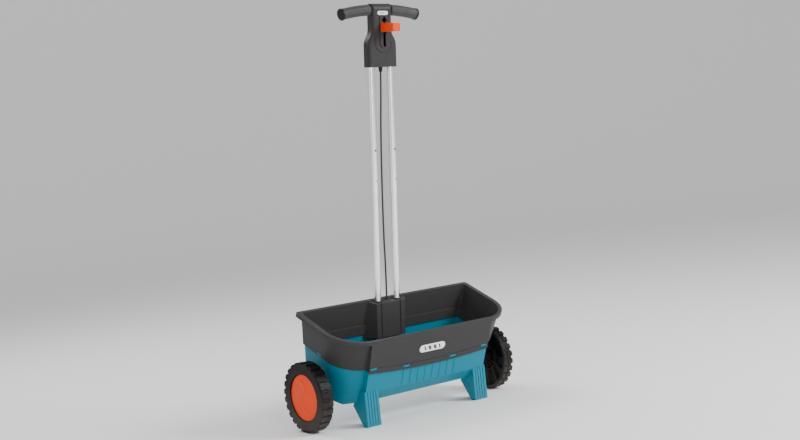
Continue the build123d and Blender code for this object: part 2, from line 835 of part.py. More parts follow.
# ================= head =================
def head_outline(inset, low, high, forward):
    """The head's front outline, moved in by inset and cut off between two heights."""
    with BuildSketch(front_of(handle, forward)) as outline:
        with BuildLine():
            right = Line((head_half_w, head_bottom), (head_half_w, shoulder_low))
            middle = ((head_half_w + column_half_w) / 2, (shoulder_low + shoulder_high) / 2)
            turn_in = TangentArc(right @ 1, middle, tangent=right % 1)
            shoulder = TangentArc(turn_in @ 1, (column_half_w, shoulder_high), tangent=turn_in % 1)
            Polyline(
                shoulder @ 1, (column_half_w, bar_height + head_depth), (0, bar_height + head_depth)
            )
            Line((0, head_bottom), right @ 0)
            mirror(about=Plane.YZ)
        make_face()
        if inset:
            offset(amount=-inset, kind=Kind.INTERSECTION)
            with Locations((0, (low + high) / 2)):
                Rectangle(4 * head_half_w, high - low, mode=Mode.INTERSECT)
    return outline.sketch


def bar_piece(start, stop, radius):
    """A round rod along the T-bar's drooping arc between two x positions."""
    front = front_of(handle)
    bend_centre = front.from_local_coords((0, bar_height - bar_bend_r, 0))
    first_turn = math.asin(start / bar_bend_r)
    last_turn = math.asin(stop / bar_bend_r)
    end_point = (stop, bar_height - bar_bend_r + bar_bend_r * math.cos(last_turn), 0)
    along = front.x_dir * math.cos(last_turn) - front.y_dir * math.sin(last_turn)
    with BuildPart() as rod:
        with BuildSketch(Plane(origin=front.from_local_coords(end_point), z_dir=along)):
            Circle(radius)
        revolve(
            axis=Axis(bend_centre, front.z_dir),
            revolution_arc=math.degrees(last_turn - first_turn),
        )
    return rod.part


bar_bend_r = (grip_half_length**2 + grip_droop**2) / (2 * grip_droop)
post_places = [(-post_low[0], post_low[1]), post_low, (-post_high[0], post_high[1]), post_high]
half_depth = head_depth / 2
shell_void = half_depth - head_wall
tube_stop = head_bottom + tube_in_head + joint_gap
bar_bore = bar_piece(-grip_half_length, grip_half_length, bar_r + press_gap)
head_bore = bar_piece(-1.3 * column_half_w, 1.3 * column_half_w, bar_r + press_gap)


def head_shell(front):
    """One half of the head's casing, split along the tubes' plane."""
    with BuildPart() as shell:
        extrude(head_outline(0, head_bottom, bar_height + head_depth, half_depth), amount=-head_depth)
        outer_edges = shell.faces().filter_by(Axis(handle.origin, handle.y_dir)).edges()
        fillet(outer_edges.filter_by(Axis.X, reverse=True), head_fillet)
        with BuildSketch(side_of(handle, -head_half_w - 5)):
            with Locations((0, bar_height)):
                Circle(half_depth)
            with Locations((0, (head_bottom + bar_height) / 2)):
                Rectangle(head_depth, bar_height - head_bottom)
        extrude(amount=2 * head_half_w + 10, mode=Mode.INTERSECT)
        # hollows for the tubes below and the lever's carriage above
        lower_void = head_outline(head_wall, head_bottom + head_wall, tube_stop, shell_void)
        extrude(lower_void, amount=-2 * shell_void, mode=Mode.SUBTRACT)
        upper_void = head_outline(head_wall, tube_stop + 2.5, bar_height - bar_r - 5, shell_void)
        extrude(upper_void, amount=-2 * shell_void, mode=Mode.SUBTRACT)
        with BuildSketch(handle.offset(head_bottom - 1)):
            with Locations((-tube_half_pitch, 0), (tube_half_pitch, 0)):
                Circle(upper_tube_r + press_gap)
        extrude(amount=tube_in_head + 1, mode=Mode.SUBTRACT)
        with BuildSketch(handle.offset(head_bottom - 1)):
            Circle(grommet_neck_r + press_gap)
        extrude(amount=head_wall + 2, mode=Mode.SUBTRACT)
        with BuildSketch(handle.offset(tube_stop - 1)):
            Circle(wire_r + 1.2)
        extrude(amount=5, mode=Mode.SUBTRACT)
        add(head_bore, mode=Mode.SUBTRACT)
        # screw posts
        with BuildSketch(front_of(handle, -shell_void - 1)):
            with Locations(*post_places):
                Circle(post_r)
        extrude(amount=2 * shell_void + 2)
        with BuildSketch(front_of(handle, shell_void - 1)):
            with Locations(*post_places):
                Circle(screw_r + press_gap)
        extrude(amount=-head_depth, mode=Mode.SUBTRACT)
        with BuildSketch(front_of(handle, -half_depth + screw_head_height + 0.3)):
            with Locations(*post_places):
                Circle(screw_head_r + joint_gap)
        extrude(amount=-5, mode=Mode.SUBTRACT)
        if front:
            # slot with its plus mark and notches, and the two curved grooves
            with BuildSketch(front_of(handle, shell_void - 1)):
                with Locations((slot_x, (slot_bottom + slot_top) / 2)):
                    SlotOverall(slot_top - slot_bottom, slot_width, rotation=90)
                with Locations((slot_x, plus_height)):
                    SlotOverall(plus_width, plus_bar)
            extrude(amount=head_wall + 2, mode=Mode.SUBTRACT)
            with BuildSketch(front_of(handle, half_depth - groove_depth)):
                for number in range(notch_count):
                    height = slot_bottom + 5 + number * notch_size
                    with Locations((slot_x - slot_width / 2, height)):
                        Rectangle(notch_size * 0.7, notch_size * 0.7, rotation=45)
            extrude(amount=head_wall, mode=Mode.SUBTRACT)
            with BuildSketch(front_of(handle, half_depth - groove_depth)):
                with BuildLine() as groove:
                    down = Line((groove_x, slot_top), (groove_x, slot_bottom + 10))
                    JernArc(down @ 1, (0, -1), slot_x - groove_x - 6, 75)
                trace(lines=groove.edges(), line_width=groove_width)
                with BuildLine() as panel_line:
                    fall = Line((-panel_half_w, slot_top - 30), (-panel_half_w, panel_bottom + panel_half_w))
                    JernArc(fall @ 1, (0, -1), panel_half_w, 180)
                trace(lines=panel_line.edges(), line_width=1.2)
            extrude(amount=head_wall, mode=Mode.SUBTRACT)
        split(bisect_by=front_of(handle), keep=Keep.TOP if front else Keep.BOTTOM)
    return shell.part


save(head_shell(True), "head_front")
save(head_shell(False), "head_rear")

with BuildPart() as head_screws:
    with BuildSketch(front_of(handle, -half_depth + screw_head_height)):
        with Locations(*post_places):
            Circle(screw_head_r)
    extrude(amount=-screw_head_height + 0.2)
    with BuildSketch(front_of(handle, -half_depth + screw_head_height)):
        with Locations(*post_places):
            Circle(screw_r)
    extrude(amount=screw_length)
    with BuildSketch(front_of(handle, -half_depth)):
        with Locations(*post_places):
            Rectangle(screw_slot, 0.8)
            Rectangle(0.8, screw_slot)
    extrude(amount=1.2, mode=Mode.SUBTRACT)
save(head_screws.part, "head_screws")

with BuildPart() as head_badge:
    with BuildSketch(front_of(handle, half_depth + 0.1)):
        with Locations((0, head_badge_height)):
            SlotOverall(head_badge_length, head_badge_width)
    extrude(amount=1.0)
save(head_badge.part, "head_badge")

# ================= T-bar =================
with BuildPart() as grip_bar:
    bar_end = grip_half_length - bar_short
    add(bar_piece(-bar_end, bar_end, bar_r))
    add(bar_piece(-bar_end - 2, bar_end + 2, bar_r - bar_wall), mode=Mode.SUBTRACT)
save(grip_bar.part, "grip_bar")
cap_start = grip_half_length - end_cap_thickness
with BuildPart() as grip:
    add(bar_piece(grip_start, cap_start, grip_r))
    fillet(grip.faces().sort_by(Axis.X)[0].edges(), grip_end_fillet)
    add(bar_bore, mode=Mode.SUBTRACT)
with BuildPart() as end_cap:
    add(bar_piece(cap_start + joint_gap, grip_half_length, end_cap_r))
    fillet(end_cap.faces().sort_by(Axis.X)[-1].edges(), cap_fillet)
half_turn = Axis(handle.origin, handle.z_dir)
save(grip.part, "grip_right")
save(grip.part.rotate(half_turn, 180), "grip_left")
save(end_cap.part, "grip_cap_right")
save(end_cap.part.rotate(half_turn, 180), "grip_cap_left")

# ================= dosing lever =================
with BuildPart() as dosing_lever:
    with BuildSketch(front_of(handle, half_depth + knob_gap)):
        with Locations((slot_x, lever_height)):
            RectangleRounded(knob_width, knob_height, knob_fillet)
    extrude(amount=knob_length, taper=1.5)
    fillet(dosing_lever.faces().sort_by(Axis(handle.origin, handle.y_dir))[0].edges(), 2.5)
    with BuildSketch(front_of(handle, half_depth + knob_gap + 6)):
        for number in range(-2, 3):
            for edge_x in (slot_x - knob_width / 2, slot_x + knob_width / 2):
                with Locations((edge_x, lever_height + number * knob_rib_pitch)):
                    Rectangle(2 * knob_rib_depth, knob_rib_pitch / 2)
    extrude(amount=knob_length * 0.55, mode=Mode.SUBTRACT)
    with BuildSketch(front_of(handle, shell_void - carriage_depth)):
        with Locations((slot_x, lever_height)):
            Rectangle(slot_width - 2 * slide_gap, stem_height)
    extrude(amount=half_depth + knob_gap - shell_void + carriage_depth + 2)
save(dosing_lever.part, "dosing_lever")

with BuildPart() as lever_carriage:
    with BuildSketch(front_of(handle, shell_void - slide_gap)):
        with Locations((slot_x, lever_height)):
            Rectangle(carriage_width, carriage_height)
            Rectangle(slot_width - 2 * slide_gap + 0.2, stem_height + 0.2, mode=Mode.SUBTRACT)
    extrude(amount=-carriage_depth)
    with BuildSketch(front_of(handle, shell_void - slide_gap - carriage_depth)):
        with Locations((0, lever_height - 2)):
            Rectangle(8, 12)
    extrude(amount=-(shell_void - slide_gap - carriage_depth) - 4)
    with BuildSketch(handle.offset(lever_height - 20)):
        Circle(wire_r + joint_gap)
    extrude(amount=40, mode=Mode.SUBTRACT)
save(lever_carriage.part, "lever_carriage")

with BuildPart() as detent_spring:
    with BuildSketch(front_of(handle, shell_void - slide_gap - 1)):
        with BuildLine() as strip:
            ThreePointArc(
                (slot_x + carriage_width / 2 + 0.6, lever_height - 10),
                (slot_x + carriage_width / 2 + 4.5, lever_height),
                (slot_x + carriage_width / 2 + 0.6, lever_height + 10),
            )
        trace(lines=strip.edges(), line_width=0.6)
    extrude(amount=-3.5)
save(detent_spring.part, "detent_spring")

# ================= cable =================
def cable_line(top, bottom):
    """The cable's line: straight at both ends, bowed back a little between head and hopper."""
    corners = [
        (0, top),
        (0, head_bottom - cable_lead),
        (cable_bow, head_bottom * 0.7),
        (cable_bow, head_bottom * 0.3),
        (0, cable_lead),
        (0, bottom),
    ]
    runs = [Vector(*end) - Vector(*start) for start, end in zip(corners, corners[1:])]
    turns = [math.radians(before.get_angle(after)) for before, after in zip(runs, runs[1:])]
    radii = [cable_ease / math.tan(turn / 2) for turn in turns]
    with BuildLine(side_of(handle)) as path:
        FilletPolyline(*corners, radius=radii)
    return path.line


def along_cable(path, radius, bore_r=0.0):
    """A round section carried along the cable's line."""
    with BuildPart() as run:
        with BuildSketch(Plane(origin=path @ 0, z_dir=path % 0)):
            Circle(radius)
            if bore_r:
                Circle(bore_r, mode=Mode.SUBTRACT)
        sweep(path=path)
    return run.part


sleeve_top = head_bottom - grommet_length + 4
sleeve_line = cable_line(sleeve_top, sleeve_bottom)
save(along_cable(sleeve_line, cable_r, cable_bore_r), "cable_sleeve")
save(along_cable(cable_line(lever_height, wire_bottom), wire_r), "inner_wire")
print("cable length", round(sum(edge.length for edge in sleeve_line.edges())))

with BuildPart() as cable_grommet:
    with BuildSketch(side_of(handle)):
        with BuildLine():
            Polyline(
                (cable_r + joint_gap, sleeve_top - 6),
                (cable_r + 1.6, sleeve_top - 6),
                (grommet_r, head_bottom - 4),
                (grommet_r, head_bottom - 0.1),
                (grommet_neck_r, head_bottom - 0.1),
                (grommet_neck_r, head_bottom + head_wall + 2),
                (wire_r + joint_gap, head_bottom + head_wall + 2),
                (wire_r + joint_gap, sleeve_top + 0.2),
                (cable_r + joint_gap, sleeve_top + 0.2),
                close=True,
            )
        make_face()
    revolve(axis=Axis(handle.origin, handle.z_dir))
save(cable_grommet.part, "cable_grommet")

with BuildPart() as cable_ferrule:
    with BuildSketch(handle.offset(sleeve_bottom - ferrule_base)):
        Circle(ferrule_r)
    extrude(amount=ferrule_length)
    with BuildSketch(handle.offset(sleeve_bottom - 0.1)):
        Circle(cable_r + press_gap)
    extrude(amount=5, mode=Mode.SUBTRACT)
    with BuildSketch(handle.offset(sleeve_bottom - 10)):
        Circle(wire_r + joint_gap)
    extrude(amount=20, mode=Mode.SUBTRACT)
save(cable_ferrule.part, "cable_ferrule")

with BuildPart() as wire_nipple:
    with BuildSketch(front_of(handle, 2.5)):
        with Locations((0, lever_height + 6)):
            Rectangle(5, 3.5)
    extrude(amount=-5)
    with BuildSketch(handle.offset(lever_height)):
        Circle(wire_r + press_gap)
    extrude(amount=10, mode=Mode.SUBTRACT)
save(wire_nipple.part, "wire_nipple")

# ================= shutter under the trough and its crank =================
with BuildPart() as dosing_slide:
    with BuildSketch(tub.offset(shutter_top - shutter_thickness)):
        Rectangle(2 * shutter_half_length, 2 * shutter_half_w)
        with Locations((shutter_pin_x, (crank_y - 4) / 2)):
            Rectangle(16, crank_y - 4)
        with Locations((-slide_ratio * lever_up, 0)):
            with GridLocations(outlet_pitch, 1, outlet_count, 1):
                SlotOverall(outlet_length, outlet_width, mode=Mode.SUBTRACT)
    extrude(amount=shutter_thickness)
    with BuildSketch(front_of(tub, -crank_y + crank_thickness / 2 + 6)):
        with Locations((shutter_pin_x, shutter_middle)):
            Circle(shutter_pin_r)
    extrude(amount=-crank_thickness - 6)
save(dosing_slide.part, "dosing_slide")


def crank_place(length, turn):
    """A point of the crank at this distance from its pivot, turned up from its left side."""
    return (crank_x - length * math.cos(turn), crank_z + length * math.sin(turn))


fork_reach = crank_short * (1 + 1 / math.cos(crank_half_swing)) / 2
fork_slot = 2 * (shutter_pin_r + shutter_pin_play)
fork_length = fork_slot + crank_short * (1 / math.cos(crank_half_swing) - 1) + 0.6
fork_turn = crank_rest + math.pi / 2
with BuildPart() as shutter_crank:
    with BuildSketch(front_of(tub, -crank_y + crank_thickness / 2)):
        with Locations((crank_x, crank_z)):
            Circle(crank_arm + 2)
        with Locations(crank_place(crank_long / 2, crank_rest)):
            Rectangle(crank_long, crank_arm, rotation=-math.degrees(crank_rest))
        with Locations(crank_place(crank_long, crank_rest)):
            Circle(crank_arm)
        with Locations(crank_place(fork_reach, fork_turn)):
            Circle(crank_arm + 1)
            SlotOverall(
                fork_length, fork_slot, rotation=90 - math.degrees(crank_rest), mode=Mode.SUBTRACT
            )
        with Locations((crank_x, crank_z)):
            Circle(crank_pin_r + running_gap, mode=Mode.SUBTRACT)
    extrude(amount=-crank_thickness)
save(shutter_crank.part, "shutter_crank")

with BuildPart() as crank_pin:
    with BuildSketch(front_of(tub, -crank_y + crank_thickness / 2 + 0.4)):
        with Locations((crank_x, crank_z)):
            Circle(crank_pin_r - press_gap)
    extrude(amount=-crank_thickness - lug_thickness - 2)
    with BuildSketch(front_of(tub, -crank_y + crank_thickness / 2 + 0.4)):
        with Locations((crank_x, crank_z)):
            Circle(crank_pin_r + 1.5)
    extrude(amount=1.5)
save(crank_pin.part, "crank_pin")
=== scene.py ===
"""Looks of the drop spreader: finishes for its solid pieces, and grips, caps and cable as surfaces."""

import json
import math

import bmesh
import bpy
import numpy as np
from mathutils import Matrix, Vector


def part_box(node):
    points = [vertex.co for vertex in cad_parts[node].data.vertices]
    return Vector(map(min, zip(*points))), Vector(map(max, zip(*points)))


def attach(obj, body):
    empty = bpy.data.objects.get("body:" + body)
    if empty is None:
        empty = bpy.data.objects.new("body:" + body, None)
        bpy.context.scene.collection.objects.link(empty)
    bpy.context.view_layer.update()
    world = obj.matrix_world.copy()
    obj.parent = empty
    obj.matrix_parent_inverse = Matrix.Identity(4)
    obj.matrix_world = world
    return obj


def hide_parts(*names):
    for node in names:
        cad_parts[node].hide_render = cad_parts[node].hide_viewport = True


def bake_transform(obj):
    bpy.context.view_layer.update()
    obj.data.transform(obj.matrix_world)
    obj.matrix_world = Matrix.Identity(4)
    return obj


bl_info = {
    "name": "Drop spreader",
    "version": (1, 0, 0),
    "blender": (4, 5, 0),
    "location": "3D View > Sidebar > Spreader",
    "description": "Grips, caps, cable, finishes and stage of a garden drop spreader",
    "category": "Object",
}

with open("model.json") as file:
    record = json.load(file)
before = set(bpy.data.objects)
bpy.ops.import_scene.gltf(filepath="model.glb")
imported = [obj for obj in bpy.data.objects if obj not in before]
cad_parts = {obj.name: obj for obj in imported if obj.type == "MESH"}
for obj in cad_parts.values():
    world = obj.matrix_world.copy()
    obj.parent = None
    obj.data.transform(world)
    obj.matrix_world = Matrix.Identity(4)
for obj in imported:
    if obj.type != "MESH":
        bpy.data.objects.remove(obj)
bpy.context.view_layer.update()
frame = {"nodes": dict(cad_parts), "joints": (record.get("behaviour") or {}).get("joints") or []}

# The hopper's plane is tilted about the axle, and the handle's plane follows the tubes.
TUB_TILT = math.radians(22.5)
HANDLE_LEAN = math.radians(7.1)
AXLE = next(joint["pos_m"] for joint in frame["joints"] if joint["name"] == "axle_spin")


def hopper_point(x, y, z):
    """A place in the hopper's tilted plane, in the row frame."""
    back = AXLE[1] + y * math.cos(TUB_TILT) - z * math.sin(TUB_TILT)
    up = AXLE[2] + y * math.sin(TUB_TILT) + z * math.cos(TUB_TILT)
    return np.array([x, back, up])


TUBE_FOOT = hopper_point(0, 0.123, 0.198)
TUBE_UP = np.array([0, -math.sin(HANDLE_LEAN), math.cos(HANDLE_LEAN)])
TUBE_BACK = np.array([0, math.cos(HANDLE_LEAN), math.sin(HANDLE_LEAN)])


def handle_point(x, back, up):
    """Places in the handle's plane, whose height runs along the tubes, in the row frame."""
    x, back, up = np.broadcast_arrays(x, back, up)
    sideways = x[..., None] * np.array([1.0, 0.0, 0.0])
    return TUBE_FOOT + sideways + back[..., None] * TUBE_BACK + up[..., None] * TUBE_UP


# The camera and the soft lights: place, width and height in metres, and power in watts.
CAMERA_PLACE = (-2.23065, -2.93564, 0.70851)
CAMERA_TURN = (87.66, 5.87, -37.74)
CAMERA_LENS = 56.95
ROOM_LIGHT = 0.62
LIGHT_TARGET = (0.0, 0.0, 0.45)
SOFT_LIGHTS = {
    "key light": ((2.1, -3.3, 2.6), (1.7, 1.7), 215),
    "strip light": ((-1.7, -3.8, 1.5), (0.9, 2.6), 48),
    "side light": ((-3.6, -0.6, 1.2), (1.0, 1.6), 7),
    "back light": ((-0.6, 2.4, 3.0), (1.8, 1.8), 60),
}

# The floor's flat disc, and the quarter circle and wall round it.
FLOOR_RADIUS = 9.0
SWEEP_RADIUS = 3.0
WALL_HEIGHT = 4.5

# The badges' print, as shares of half a badge's length.
PRINT_LENGTH = 29.0 / 46.5
PRINT_HEIGHT = 6.4 / 46.5
PRINT_PITCH = 19.0 / 46.5

# The caps, in metres. Their faces lie inside their CAD discs, so their marks stay in the box.
CAP_INSET = 0.0019
CAP_THICKNESS = 0.004
CRESCENT_RISE = 0.0014
MIDDLE_RING_RISE = 0.0003

# The caps' marks and edge, as shares of their radius.
CRESCENT_RADIUS = 0.30
CRESCENT_TILT = (0.94, 0.34)
CRESCENT_EDGE = 110
MIDDLE_RING = (0.10, 0.02)
MARKS_END = 0.93
FACE_END = 0.985
EDGE_ROUND = 0.015
BACK_END = 0.97

# The grips, in metres, along and round their bar.
BAR_HALF_SPAN = 0.136
BAR_DROOP = 0.014
BAR_HEIGHT = 0.845
GRIP_START = 0.0355
GRIP_STOP = 0.1308
GRIP_ROUND = 0.005
GRIP_BORE = 0.0103
CREASE_WIDTH = 0.09
CREASE_FADES = (0.12, 0.05)
DIMPLE_PLACE = 0.016
DIMPLE_HALF_SIZE = (0.0035, 0.22)
DIMPLE_DEPTH = 0.0009

# The cable and its wire, in metres, as heights along the handle.
SHEATH_TOP = 0.673
SHEATH_BOTTOM = -0.212
WIRE_TOP = 0.794
WIRE_BOTTOM = -0.228
HEAD_BOTTOM = 0.681
CABLE_NECK = 0.621
CABLE_FOOT = 0.060
CABLE_BOW = 0.008
SHEATH_BORE_RADIUS = 0.00125
WIRE_RADIUS = 0.0009
WIRE_CORE_RADIUS = 0.0002


# ---------------------------------------------------------------- surfaces


def knit(name, points, loop_rows=False):
    """A mesh from a grid of points, rows by columns, whose columns run all the way round.

    Neighbouring rows and columns are joined by quads, the last column to the first one, and with
    loop_rows the last row to the first one too. Points that coincide at a pole become one.
    """
    rows, columns = points.shape[:2]
    number = np.arange(rows * columns).reshape(rows, columns)
    if loop_rows:
        number = np.vstack([number, number[:1]])
    here, beside = number[:-1], np.roll(number, -1, axis=1)[:-1]
    above, across = number[1:], np.roll(number, -1, axis=1)[1:]
    quads = np.stack([here, beside, across, above], axis=-1).reshape(-1, 4)
    mesh = bpy.data.meshes.new(name)
    mesh.from_pydata(points.reshape(-1, 3), [], quads)
    shape = bmesh.new()
    shape.from_mesh(mesh)
    bmesh.ops.remove_doubles(shape, verts=shape.verts, dist=1e-6)
    bmesh.ops.recalc_face_normals(shape, faces=shape.faces)
    shape.to_mesh(mesh)
    shape.free()
    mesh.polygons.foreach_set("use_smooth", np.ones(len(mesh.polygons), bool))
    piece = bpy.data.objects.new(name, mesh)
    bpy.context.scene.collection.objects.link(piece)
    return piece


def keep_edges(piece, degrees=35):
    """Shades the piece smooth, apart from edges that turn by more than this angle."""
    piece.data.set_sharp_from_angle(angle=math.radians(degrees))
    return piece


def tube_round(path, outer, inner, sides=20):
    """Points of a hollow tube along a path in the object's middle plane.

    Each ring is the path's point plus radius times (cos a, sin a) on the sideways direction and on
    the direction square to it and to the path. The rings go up the outside and down the bore.
    """
    along = np.gradient(path, axis=0)
    along /= np.linalg.norm(along, axis=1, keepdims=True)
    sideways = np.array([1.0, 0.0, 0.0])
    square = np.cross(along, sideways)
    turn = np.linspace(0, 2 * math.pi, sides, endpoint=False)[None, :, None]
    ring = np.cos(turn) * sideways + np.sin(turn) * square[:, None, :]
    outside = path[:, None, :] + outer * ring
    bore = path[:, None, :] + inner * ring
    return np.concatenate([outside, bore[::-1]])


def route(corners):
    """Points along the smooth curve that these corners control, as the curve itself gives them."""
    curve = bpy.data.curves.new("route", "CURVE")
    curve.dimensions = "3D"
    curve.resolution_u = 24
    spline = curve.splines.new("NURBS")
    spline.points.add(len(corners) - 1)
    weighted = np.column_stack([corners, np.ones(len(corners))])
    spline.points.foreach_set("co", weighted.ravel())
    spline.order_u = 3
    spline.use_endpoint_u = True
    guide = bpy.data.objects.new("route", curve)
    line = bpy.data.meshes.new_from_object(guide)
    points = np.empty(3 * len(line.vertices))
    line.vertices.foreach_get("co", points)
    bpy.data.objects.remove(guide)
    bpy.data.meshes.remove(line)
    return points.reshape(-1, 3)


# ---------------------------------------------------------------- finishes


class Wire:
    """A number that varies over a surface. Arithmetic on it adds Math nodes to its finish."""

    def __init__(self, finish, socket):
        self.finish = finish
        self.socket = socket

    def __add__(self, other):
        return self.finish.maths("ADD", self, other)

    __radd__ = __add__

    def __mul__(self, other):
        return self.finish.maths("MULTIPLY", self, other)

    __rmul__ = __mul__

    def __sub__(self, other):
        return self.finish.maths("SUBTRACT", self, other)

    def __rsub__(self, other):
        return self.finish.maths("SUBTRACT", other, self)

    def __truediv__(self, other):
        return self.finish.maths("DIVIDE", self, other)

    def __gt__(self, other):
        return self.finish.maths("GREATER_THAN", self, other)

    def __lt__(self, other):
        return self.finish.maths("LESS_THAN", self, other)

    def __abs__(self):
        return self.finish.maths("ABSOLUTE", self)

    def ease(self, start, stop):
        """0 before start, 1 after stop, and a smooth rise in between."""
        settings = {"interpolation_type": "SMOOTHSTEP"}
        return self.finish.node("ShaderNodeMapRange", settings, {0: self, 1: start, 2: stop})


class Finish:
    """A material while its nodes are laid: constants on its shader, and patterns over the surface."""

    def __init__(self, name, colour, constants):
        self.material = bpy.data.materials.new(name)
        self.material.use_nodes = True
        self.tree = self.material.node_tree
        self.shader = self.tree.nodes["Principled BSDF"]
        self.colour = tuple(colour)[:3] + (1.0,)
        self.shader.inputs["Base Color"].default_value = self.colour
        for socket, value in constants.items():
            self.shader.inputs[socket].default_value = value
        self.material.diffuse_color = self.colour
        self.places = self.tree.nodes.new("ShaderNodeTexCoord").outputs["Object"]

    def node(self, kind, settings, values, out=0):
        """A node of this kind, with its settings, then its sockets' values or links."""
        node = self.tree.nodes.new(kind)
        for name, value in settings.items():
            setattr(node, name, value)
        for name, value in values.items():
            self.join(node.inputs[name], value)
        return Wire(self, node.outputs[out])

    def maths(self, operation, *values):
        """A Math node on these values."""
        return self.node("ShaderNodeMath", {"operation": operation}, dict(enumerate(values)))

    def join(self, socket, value):
        """Links a wire or socket to this one, or sets it to a plain value."""
        if isinstance(value, Wire):
            self.tree.links.new(value.socket, socket)
        elif isinstance(value, bpy.types.NodeSocket):
            self.tree.links.new(value, socket)
        else:
            socket.default_value = value

    def placed(self, scale=(1, 1, 1), turn=(0, 0, 0), move=(0, 0, 0)):
        """The piece's own places, moved, turned and stretched."""
        values = {"Vector": self.places, "Scale": scale, "Rotation": turn, "Location": move}
        return self.node("ShaderNodeMapping", {}, values)

    def noise(self, scale, detail=3.0, roughness=0.5, places=None):
        """Cloudy noise from 0 to 1, scale times a metre."""
        values = {"Scale": scale, "Detail": detail, "Roughness": roughness}
        values["Vector"] = places or self.places
        return self.node("ShaderNodeTexNoise", {}, values)

    def cells(self, scale, feature="F1", places=None):
        """Distance to the nearest of many scattered points, in their own spacing."""
        values = {"Scale": scale, "Vector": places or self.places}
        return self.node("ShaderNodeTexVoronoi", {"feature": feature}, values)

    def axes(self, places=None):
        """The three numbers of a place."""
        split = self.node("ShaderNodeSeparateXYZ", {}, {"Vector": places or self.places})
        outputs = split.socket.node.outputs
        return [Wire(self, outputs[name]) for name in "XYZ"]

    def tint(self, mask, colour, under=None):
        """The colour so far, or under, with this colour where the mask is 1."""
        node = self.tree.nodes.new("ShaderNodeMix")
        node.data_type = "RGBA"
        self.join(node.inputs[0], mask)
        self.join(node.inputs[6], under or self.colour)
        self.join(node.inputs[7], tuple(colour)[:3] + (1.0,))
        return Wire(self, node.outputs[2])

    def feed(self, socket, value):
        """Feeds a wire to one of the shader's sockets."""
        self.join(self.shader.inputs[socket], value)

    def relief(self, height, depth, strength=1.0, under=None):
        """Height from 0 to 1 as a bump this many metres deep, over another bump if given."""
        values = {"Height": height, "Distance": depth, "Strength": strength}
        if under is not None:
            values["Normal"] = under
        return self.node("ShaderNodeBump", {}, values)


def shade(colour, factor):
    """The colour, darker or lighter by this factor."""
    return tuple(channel * factor for channel in tuple(colour)[:3])


def moulded_plastic(name, colour, roughness, grain, grain_depth, dust=0.0):
    """Injection-moulded plastic: spark-eroded grain, faint flow marks, rubbed scuffs and dust."""
    finish = Finish(name, colour, {"Specular IOR Level": 0.13})
    flow = finish.noise(7.0, 2.0, 0.5, finish.placed(scale=(1.0, 2.2, 3.0)))
    cloud = finish.noise(38.0, 4.0, 0.6)
    scuff_places = finish.placed(scale=(1.0, 9.0, 1.6), turn=(0.3, 0.4, 0.7))
    scuffs = finish.noise(90.0, 6.0, 0.75, scuff_places).ease(0.66, 0.74)
    toned = finish.tint(flow * 0.55, shade(colour, 0.86))
    toned = finish.tint(scuffs * 0.10, shade(colour, 1.7), toned)
    if dust:
        height = finish.axes()[2]
        low = 1 - height.ease(0.0, 0.16)
        toned = finish.tint(low * cloud * dust, (0.34, 0.30, 0.25), toned)
    finish.feed("Base Color", toned)
    finish.feed("Roughness", roughness + 0.10 * (cloud - 0.5) + 0.06 * (flow - 0.5) + 0.06 * scuffs)
    pits = finish.cells(grain, "SMOOTH_F1") + 0.5 * finish.noise(grain * 0.7, 2.0, 0.6)
    finish.feed("Normal", finish.relief(pits, grain_depth, 0.6))
    return finish.material


def soft_rubber(name, colour):
    """Soft-touch rubber: dense pebbles, paler where hands polish it."""
    finish = Finish(name, colour, {"Specular IOR Level": 0.35, "Sheen Weight": 0.12})
    pebbles = finish.cells(780.0, "SMOOTH_F1")
    rubbed = finish.noise(26.0, 3.0, 0.6).ease(0.48, 0.72)
    finish.feed("Base Color", finish.tint(rubbed * 0.35, shade(colour, 1.5)))
    finish.feed("Roughness", 0.62 - 0.14 * rubbed + 0.08 * (pebbles - 0.5))
    finish.feed("Normal", finish.relief(pebbles, 0.00022, 0.7))
    return finish.material


def drawn_tube(name, colour):
    """Satin drawn aluminium: fine lines along the tube, cloudy oxide and a few handling marks."""
    finish = Finish(name, colour, {"Metallic": 1.0, "Anisotropic": 0.45})
    along = finish.placed(scale=(1.0, 1.0, 0.012), turn=(-HANDLE_LEAN, 0, 0))
    lines = finish.noise(2600.0, 3.0, 0.6, along)
    oxide = finish.noise(17.0, 4.0, 0.6)
    marks = finish.noise(240.0, 5.0, 0.8, finish.placed(scale=(1.0, 1.0, 0.2))).ease(0.68, 0.76)
    toned = finish.tint(lines * 0.3, shade(colour, 0.78))
    finish.feed("Base Color", finish.tint(oxide * 0.28, shade(colour, 0.86), toned))
    finish.feed("Roughness", 0.24 + 0.13 * (lines - 0.5) + 0.12 * (oxide - 0.5) + 0.12 * marks)
    finish.feed("Normal", finish.relief(lines, 0.00003, 0.35))
    return finish.material


def plated_steel(name, colour, roughness=0.34):
    """Zinc-plated steel: pale spangle and a dull bloom."""
    finish = Finish(name, colour, {"Metallic": 1.0})
    spangle = finish.cells(260.0)
    bloom = finish.noise(45.0, 4.0, 0.65)
    toned = finish.tint(spangle * 0.35, shade(colour, 0.75))
    finish.feed("Base Color", finish.tint(bloom * 0.25, (0.42, 0.41, 0.36), toned))
    finish.feed("Roughness", roughness + 0.18 * (bloom - 0.4) + 0.08 * (spangle - 0.5))
    finish.feed("Normal", finish.relief(bloom, 0.00006, 0.4))
    return finish.material


def cable_sheath(name, colour):
    """Extruded sheath over a wound conduit: rings show faintly through a satin skin."""
    finish = Finish(name, colour, {"Specular IOR Level": 0.5})
    height = finish.axes()[2]
    rings = finish.maths("SINE", height * 2100.0) * 0.5 + 0.5
    dull = finish.noise(60.0, 3.0, 0.6)
    finish.feed("Base Color", finish.tint(dull * 0.4, shade(colour, 1.8)))
    finish.feed("Roughness", 0.38 + 0.2 * (dull - 0.5))
    finish.feed("Normal", finish.relief(rings, 0.00008, 0.5))
    return finish.material


